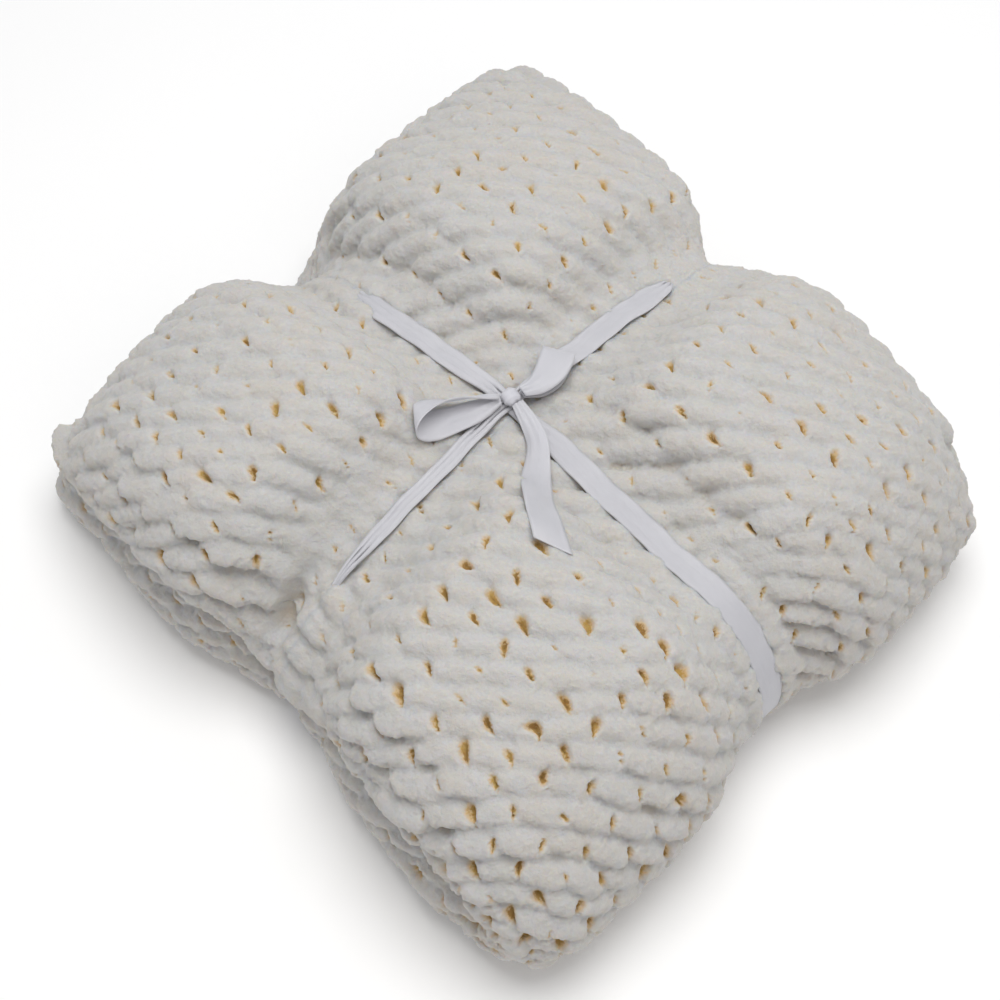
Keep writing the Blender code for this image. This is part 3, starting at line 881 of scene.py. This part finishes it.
def quarter_pieces(knit):
    """The skin cut under the ribbons, and in the crease between the plies, so that no piece is heavy."""
    mesh = knit.data
    x, y, z = (values_of(mesh.polygons, "center").astype(float) - np.array(TIE)).T
    over = z > top_height(x, y) / 2
    pieces = []
    for quarter in QUARTERS:
        halves = {"": in_quarter(quarter, x, y)}
        if quarter.sign_x < 0:
            halves = {"_over": halves[""] & over, "_under": halves[""] & ~over}
        for suffix, kept in halves.items():
            shape = bmesh.new()
            shape.from_mesh(mesh)
            shape.faces.ensure_lookup_table()
            bmesh.ops.delete(shape, geom=[shape.faces[i] for i in np.flatnonzero(~kept)], context="FACES")
            name = quarter.name + suffix
            pieces.append(new_object(name, written(shape, name)))
    bpy.data.objects.remove(knit, do_unlink=True)
    return pieces


def main():
    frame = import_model()
    make_camera()
    make_floor()
    make_lights()
    knit = make_knit(VOXEL)
    mesh = knit.data
    # The depth under the solid's surface sets the painted shade in the creases; where a tuck has drawn the
    # knit in, it counts as none.
    depth = depth_below(mesh, frame["nodes"]["blanket"].data) * (1 - tucked(points_of(mesh)))
    depth = part_lobes(mesh, deepen(mesh, depth))
    eye = open_eyes(mesh)
    slump(mesh)
    points = points_of(mesh)
    points[:, 2] = np.maximum(points[:, 2], 0.0)
    set_points(mesh, points)
    # These attributes set the painted shade in the eyes and the creases.
    put_attribute(mesh, "eye", eye)
    put_attribute(mesh, "depth", depth)
    yarn = knit_material()
    pieces = quarter_pieces(knit)
    for piece in pieces:
        clad(piece, yarn)
        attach(piece, "root")
        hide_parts("blanket")
    make_ground(yarn)
    make_ribbon()


def make_ground(material):
    """The cloth itself as one thin sheet through the middle of its folded plies."""
    ground = folded_plies("ground", GROUND_INSET, 140)
    points = eased(points_of(ground.data))
    points[:, 1] += 1.5 * CLEFT.deep * cleft_share(points, 2.5 * CLEFT.width)
    set_points(ground.data, points)
    clad(ground, material)
    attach(ground, "root")
    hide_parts("blanket")


# ---- the stage
def make_camera():
    azimuth, elevation = radians(CAMERA_AZIMUTH), radians(CAMERA_ELEVATION)
    level = cos(elevation)
    back = Vector((sin(azimuth) * level, -cos(azimuth) * level, sin(elevation)))
    lens = bpy.data.cameras.new("camera")
    lens.lens = CAMERA_LENS
    lens.sensor_width = 36.0
    camera = new_object("camera", lens)
    camera.location = TIE + CAMERA_AIM + back * CAMERA_DISTANCE
    camera.rotation_euler = back.to_track_quat("Z", "Y").to_euler()
    bpy.context.scene.camera = camera


def make_floor():
    shape = bmesh.new()
    bmesh.ops.create_grid(shape, x_segments=2, y_segments=2, size=FLOOR_HALF)
    floor = new_object("floor", written(shape, "floor"))
    settings = {"Base Color": (0.97, 0.97, 0.97, 1.0), "Roughness": 0.9}
    floor.data.materials.append(new_material("floor", settings)[0])


def make_lights():
    world = bpy.data.worlds.new("studio")
    world.use_nodes = True
    sky = world.node_tree.nodes["Background"].inputs
    sky["Color"].default_value = (0.95, 0.97, 1.0, 1.0)
    sky["Strength"].default_value = SKY
    bpy.context.scene.world = world
    bpy.context.scene.view_settings.view_transform = "Standard"
    for lamp in LAMPS:
        light = bpy.data.lights.new(lamp.name, "AREA")
        light.shape = "DISK"
        light.size = lamp.size
        light.energy = lamp.power
        light.color = lamp.colour
        holder = new_object(lamp.name, light)
        holder.location = lamp.place
        holder.rotation_euler = Vector(lamp.place).to_track_quat("Z", "Y").to_euler()


# ---- materials
def new_material(name, settings):
    """A material with its nodes and its shader, given what is the same all over the surface."""
    material = bpy.data.materials.new(name)
    material.use_nodes = True
    shader = material.node_tree.nodes["Principled BSDF"]
    for socket, value in settings.items():
        shader.inputs[socket].default_value = value
    return material, material.node_tree, shader


def add(tree, kind, inputs, out=0, **settings):
    """A new node's output; its inputs are values or other nodes' outputs."""
    node = tree.nodes.new(kind)
    for key, value in settings.items():
        setattr(node, key, value)
    for key, value in inputs.items():
        if hasattr(value, "is_output"):
            tree.links.new(value, node.inputs[key])
        else:
            node.inputs[key].default_value = value
    return node.outputs[out]


def attribute(tree, name):
    return add(tree, "ShaderNodeAttribute", {}, "Fac", attribute_name=name)


def mix(tree, share, one, two, **settings):
    return add(tree, "ShaderNodeMix", {0: share, 6: one, 7: two}, 2, data_type="RGBA", **settings)


def ramp(tree, value, low, high):
    """Smoothly from 0 to 1 between two values."""
    inputs = {"Value": value, "From Min": low, "From Max": high}
    return add(tree, "ShaderNodeMapRange", inputs, interpolation_type="SMOOTHSTEP")


def scaled(tree, value, low, high, least, most):
    """Straight from `least` to `most` between two values."""
    inputs = {"Value": value, "From Min": low, "From Max": high, "To Min": least, "To Max": most}
    return add(tree, "ShaderNodeMapRange", inputs)


def noise(tree, place, scale, detail, rough=0.5):
    inputs = {"Vector": place, "Scale": scale, "Detail": detail, "Roughness": rough}
    return add(tree, "ShaderNodeTexNoise", inputs)


def bumps(tree, *layers):
    """A normal from layers of height, strength and distance, each on top of the one before."""
    below = {}
    for height, strength, distance in layers:
        inputs = {"Height": height, "Strength": strength, "Distance": distance, **below}
        below = {"Normal": add(tree, "ShaderNodeBump", inputs)}
    return below["Normal"]


def knit_material():
    """Ivory chenille: plush, mottled a little warm and cool, with painted shade: warm in the creases, and
    ochre deep in the eyes between the stitches.
    """
    plush = {"Roughness": 0.95, "Specular IOR Level": 0.15}
    plush |= {"Sheen Weight": 0.20, "Sheen Roughness": 0.5, "Sheen Tint": (1.0, 0.97, 0.92, 1.0)}
    plush |= {"Subsurface Weight": 0.50, "Subsurface Radius": (1.0, 0.62, 0.32), "Subsurface Scale": 0.009}
    material, tree, shader = new_material("ivory_chenille", plush)
    place = add(tree, "ShaderNodeTexCoord", {}, "Object")
    broad = noise(tree, place, 14.0, 2.0)
    patch = noise(tree, place, 75.0, 3.0)
    pile = noise(tree, place, 560.0, 3.0, 0.75)
    tuft = noise(tree, place, 170.0, 2.0, 0.6)
    ivory, cream, pearl = (0.538, 0.530, 0.512, 1.0), (0.546, 0.526, 0.498, 1.0), (0.546, 0.541, 0.537, 1.0)
    colour = mix(tree, ramp(tree, broad, 0.35, 0.65), ivory, cream)
    colour = mix(tree, ramp(tree, patch, 0.38, 0.70), colour, pearl)
    # Painted shade: the crease tone is blended in, warmer and darker, where the knit lies deep in its creases
    # and hollows.
    crease, eye_rim_shade = (0.575, 0.49, 0.385, 1.0), (0.61, 0.46, 0.27, 1.0)
    colour = mix(tree, ramp(tree, attribute(tree, "depth"), 0.0020, 0.0110), colour, crease)
    ragged = scaled(tree, noise(tree, place, 340.0, 2.0, 0.6), 0.3, 0.7, 0.62, 1.38)
    eye = add(tree, "ShaderNodeMath", {0: attribute(tree, "eye"), 1: ragged}, operation="MULTIPLY")
    # Painted shade: a warm, darker rim round each eye between the stitches.
    colour = mix(tree, ramp(tree, eye, 0.02, 0.42), colour, eye_rim_shade)
    # Painted shade deep in the eyes between the stitches, ochre or umber in patches.
    ochre, umber = (0.52, 0.345, 0.115, 1.0), (0.34, 0.195, 0.060, 1.0)
    deep = mix(tree, ramp(tree, patch, 0.35, 0.65), ochre, umber)
    colour = mix(tree, ramp(tree, eye, 0.34, 0.60), colour, deep)
    shade = scaled(tree, pile, 0.25, 0.75, 0.93, 1.03)
    grey = add(tree, "ShaderNodeCombineColor", {"Red": shade, "Green": shade, "Blue": shade})
    colour = mix(tree, 1.0, colour, grey, blend_type="MULTIPLY")
    tree.links.new(colour, shader.inputs["Base Color"])
    tree.links.new(bumps(tree, (tuft, 0.40, 0.0018), (pile, 0.80, 0.0010)), shader.inputs["Normal"])
    return material


def satin_material():
    """Cool white satin ribbon: a fine lengthwise warp under a soft sheen, with woven edges."""
    gloss = {"Specular IOR Level": 0.32, "Sheen Weight": 0.15}
    gloss |= {"Subsurface Weight": 0.40, "Subsurface Radius": (1.0, 1.0, 1.0), "Subsurface Scale": 0.005}
    material, tree, shader = new_material("white_satin", gloss)
    across = attribute(tree, "across")
    cloth = add(tree, "ShaderNodeCombineXYZ", {"X": attribute(tree, "along"), "Y": across})

    def threads(by_length, by_width, detail):
        scale = (by_length, by_width, 1.0)
        return noise(tree, add(tree, "ShaderNodeMapping", {"Vector": cloth, "Scale": scale}), 1.0, detail)

    warp = threads(60.0, 2600.0, 2.0)
    weft = threads(1800.0, 260.0, 1.0)
    crease = threads(34.0, 210.0, 3.0)
    broad = noise(tree, add(tree, "ShaderNodeTexCoord", {}, "Object"), 30.0, 2.0)
    dim, bright, selvedge = (0.548, 0.548, 0.592, 1.0), (0.572, 0.572, 0.614, 1.0), (0.50, 0.50, 0.53, 1.0)
    colour = mix(tree, ramp(tree, broad, 0.3, 0.7), dim, bright)
    edge = add(tree, "ShaderNodeMath", {0: across}, operation="ABSOLUTE")
    colour = mix(tree, ramp(tree, edge, 0.0092, 0.0104), colour, selvedge)
    tree.links.new(colour, shader.inputs["Base Color"])
    tree.links.new(scaled(tree, warp, 0.0, 1.0, 0.46, 0.62), shader.inputs["Roughness"])
    woven = bumps(tree, (crease, 0.35, 0.0012), (warp, 0.30, 0.00012), (weft, 0.15, 0.00008))
    tree.links.new(woven, shader.inputs["Normal"])
    return material


# ---- the ribbon
def arc(centre, radius, start, stop, steps):
    angles = [radians(start + (stop - start) * i / steps) for i in range(steps + 1)]
    return [(centre[0] + radius * cos(a), centre[1] + radius * sin(a)) for a in angles]


def round_side(reach, radius):
    """Down one side of the flat plies' section: distances and heights."""
    centre = reach - radius
    top = arc((centre, HEIGHT - radius), radius, 90, 0, 10)
    base = arc((centre, radius), radius, 0, -90, 10)
    if HEIGHT - 2 * radius < EDGE_ROUND:
        return top + base[1:]
    heights = np.linspace(HEIGHT - radius, radius, 25)[1:-1]
    return top + [(reach, z) for z in heights] + base


def band_outline(low, high):
    """A closed line round the flat plies' section, from the top; `low` and `high` are (reach, radius)."""
    kept = list(np.linspace(-(low[0] - low[1]), high[0] - high[1], 130))[1:-1]
    over = [(v, HEIGHT) for v in kept]
    under = [(v, 0.0) for v in kept[::-1]]
    up = [(-v, z) for v, z in round_side(*low)[::-1]]
    return over + round_side(*high) + under + up


def band_width(axis, distance, z):
    """The ribbon's width: gathered at the knot, rucked along the top, and full underneath."""
    side = next(side for side in SIDES if side.axis == axis and side.sign * distance >= 0.0)
    share = smooth(abs(distance) / GATHER_REACH) if z >= HEIGHT else 1.0
    width = GATHERED_WIDTH + (side.width - GATHERED_WIDTH) * share
    for nip in NIPS:
        if nip.axis == axis and nip.sign * distance > nip.start:
            share = smooth((abs(distance) - nip.start) / (nip.end - nip.start))
            width += (nip.width - width) * share
    top, span = (WIDENS_FROM, WIDENS_OVER) if axis == 1 and distance < 0.0 else (HEIGHT, HEIGHT)
    return width + (RIBBON_WIDTH - width) * smooth((top - z) / span)


def satin_object(name, rows, lengths, **form):
    """Ribbon through rows of points, which know their places on its flat cloth."""
    mesh = grid_mesh(name, rows, **form)
    put_attribute(mesh, "across", np.tile(ACROSS_STRIP * RIBBON_WIDTH / 2, len(rows)))
    put_attribute(mesh, "along", np.repeat(lengths, len(ACROSS_STRIP)))
    return new_object(name, mesh)


def make_band(name, axis, phase):
    """One turn of ribbon round the bundle along an axis, eased with it; the one along Y crosses over."""
    rows, lengths = [], []
    length = 0.0
    outline = band_outline(ROUNDS[axis, -1], ROUNDS[axis, +1])
    last = outline[-1]
    for distance, z in outline:
        length += hypot(distance - last[0], z - last[1])
        last = (distance, z)
        near = max(0.0, 1 - abs(distance) / CROSS_REACH)
        lift = CROSS_LIFT * min(1.0, CROSS_RAMP * near) if axis == 1 else 0.0
        width = band_width(axis, distance, z)
        sway = sum(wave.reach * sin(length * wave.by_length + wave.phases * phase) for wave in SWAYS)
        gathered = min(1 - width / RIBBON_WIDTH, GATHERED_MOST)
        row = []
        for side in ACROSS_STRIP:
            ripple = BAND_RIPPLE * sin(length * 140.0 + phase + 2.4 * side) + EDGE_CURL * abs(side) ** 3
            pleat = PLEAT * gathered * cos(3 * pi * side + phase)
            up = lift + ripple * (1 - gathered) + pleat * (z >= HEIGHT)
            place = side * width / 2 + sway * (1 - gathered)
            high = z + up if z > HEIGHT / 2 else z - up
            row.append((distance, place, high) if axis == 0 else (place, distance, high))
        rows.append(row)
        lengths.append(length)
    band = satin_object(name, eased(np.array(rows)), lengths, closed=True, turned=axis == 0)
    flat = points_of(band.data)
    normals = values_of(band.data.vertices, "normal")
    middle = np.array((TIE.x, TIE.y, HEIGHT / 2))
    outward = 1.0 if ((flat - middle) * normals).sum() > 0 else -1.0
    set_points(band.data, flat + normals * RIBBON_CLEAR * outward)
    thicken(band, RIBBON / 2, outward)
    return band


def catmull(rows, steps):
    """Evenly stepped values on a smooth curve through a table's rows."""
    table = np.array(rows, float)
    table = np.vstack([2 * table[0] - table[1], table, 2 * table[-1] - table[-2]])
    place = np.linspace(0.0, len(rows) - 1, steps + 1)
    first = np.minimum(place.astype(int), len(rows) - 2)
    t = (place - first)[:, None]
    p0, p1, p2, p3 = (table[first + k] for k in range(4))
    return 0.5 * (
        2 * p1
        + (p2 - p0) * t
        + (2 * p0 - 5 * p1 + 4 * p2 - p3) * t**2
        + (3 * p1 - p0 - 3 * p2 + p3) * t**3
    )


def on_top(x, y, lift=0.0):
    """Where the eased top, or a place in the flat plies' frame this far above it, ends up."""
    return Vector(eased(np.array([[x, y, HEIGHT + lift]]))[0])


def make_strip(name, slant, phase):
    """A length of ribbon along a table's line, pleated where it is gathered into the knot."""
    line = [Stop(*values) for values in catmull(BOW[name], STRIP_STEPS) * STOP_UNITS]
    centres = [on_top(stop.x, stop.y) + Vector((0.0, 0.0, stop.rise)) for stop in line]
    rows, lengths = [], []
    length = 0.0
    for i, stop in enumerate(line):
        ahead = centres[min(i + 1, STRIP_STEPS)] - centres[max(i - 1, 0)]
        length += ahead.length / 2
        ahead.normalize()
        plan = np.array((cos(radians(stop.turn)), sin(radians(stop.turn))))
        step = plan * stop.width / 2
        slope = on_top(stop.x + step[0], stop.y + step[1]) - on_top(stop.x - step[0], stop.y - step[1])
        lean = asin(slope.normalized().z) + radians(stop.tilt)
        wide = Vector((*(plan * cos(lean)), sin(lean)))
        face = ahead.cross(wide).normalized()
        gathered = max(0.0, 1 - stop.width / RIBBON_WIDTH)
        row = []
        for side in ACROSS_STRIP:
            past = slant * side * max(0.0, 1 - (1 - i / STRIP_STEPS) * CUT_SHARE)
            pleat = PLEAT * gathered * cos(2.6 * pi * side + phase)
            ripple = STRIP_RIPPLE * sin(length * 150.0 + phase + 1.7 * side)
            point = centres[i] + wide * (side * stop.width / 2) + ahead * past
            row.append(tuple(point + face * (stop.cup * (1 - side**2) + pleat + ripple)))
        rows.append(row)
        lengths.append(length)
    strip = satin_object(name, np.array(rows), lengths)
    thicken(strip, RIBBON / 2)
    return strip, length


def make_knot():
    """The wrapped knot: a squat lump with the grooves of the ribbon's turns across it."""
    shape = bmesh.new()
    bmesh.ops.create_uvsphere(shape, u_segments=72, v_segments=48, radius=1.0)
    for vert in shape.verts:
        x, y, z = vert.co
        groove = 1 - 0.12 * bell(x - 0.25 * y, 0.16) * (z > -0.2)
        waist = 1 - 0.16 * bell(y, 0.35) * abs(x)
        folds = 1 + 0.030 * cos(13.0 * (x - 0.3 * y)) + 0.012 * cos(29.0 * (x + 0.1 * z))
        vert.co = Vector((x * groove * waist, y * groove * folds, z * groove * folds))
    mesh = written(shape, "knot")
    points = points_of(mesh)
    put_attribute(mesh, "across", points[:, 0] * 0.009)
    put_attribute(mesh, "along", points[:, 1] * 0.012)
    half = np.array(KNOT_SIZE) / 2
    middle = np.array(on_top(0.0, 0.0, RIBBON_CLEAR + CROSS_LIFT)) + (0.0, 0.0, RIBBON + KNOT_GAP + half[2])
    set_points(mesh, points * half + middle)
    return new_object("knot", mesh)


def make_ribbon():
    """The two bands, the knot, the bow's loops and the free end that shows."""
    satin = satin_material()
    pieces = [
        (make_band("band_x", 0, 0.4), "ribbon_band_x", (RIBBON_WIDTH, BAND_X_LENGTH), "stretched"),
        (make_band("band_y", 1, 1.9), "ribbon_band_y", (RIBBON_WIDTH, BAND_Y_LENGTH), "stretched"),
        (make_knot(), "ribbon_knot", None, None),
    ]
    for name, slant, held, phase in (
        ("bow_loop_left", 0.0, "folded", 0.7),
        ("bow_loop_right", 0.0, "folded", 2.1),
        ("ribbon_tail", TAIL_SLANT, "laid", 3.3),
    ):
        strip, length = make_strip(name, slant, phase)
        strip.name = "satin_" + name
        pieces.append((strip, name, (RIBBON_WIDTH, length), held))
    for piece, node, flat, held in pieces:
        clad(piece, satin)
        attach(piece, "root")
        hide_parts(node)


main()
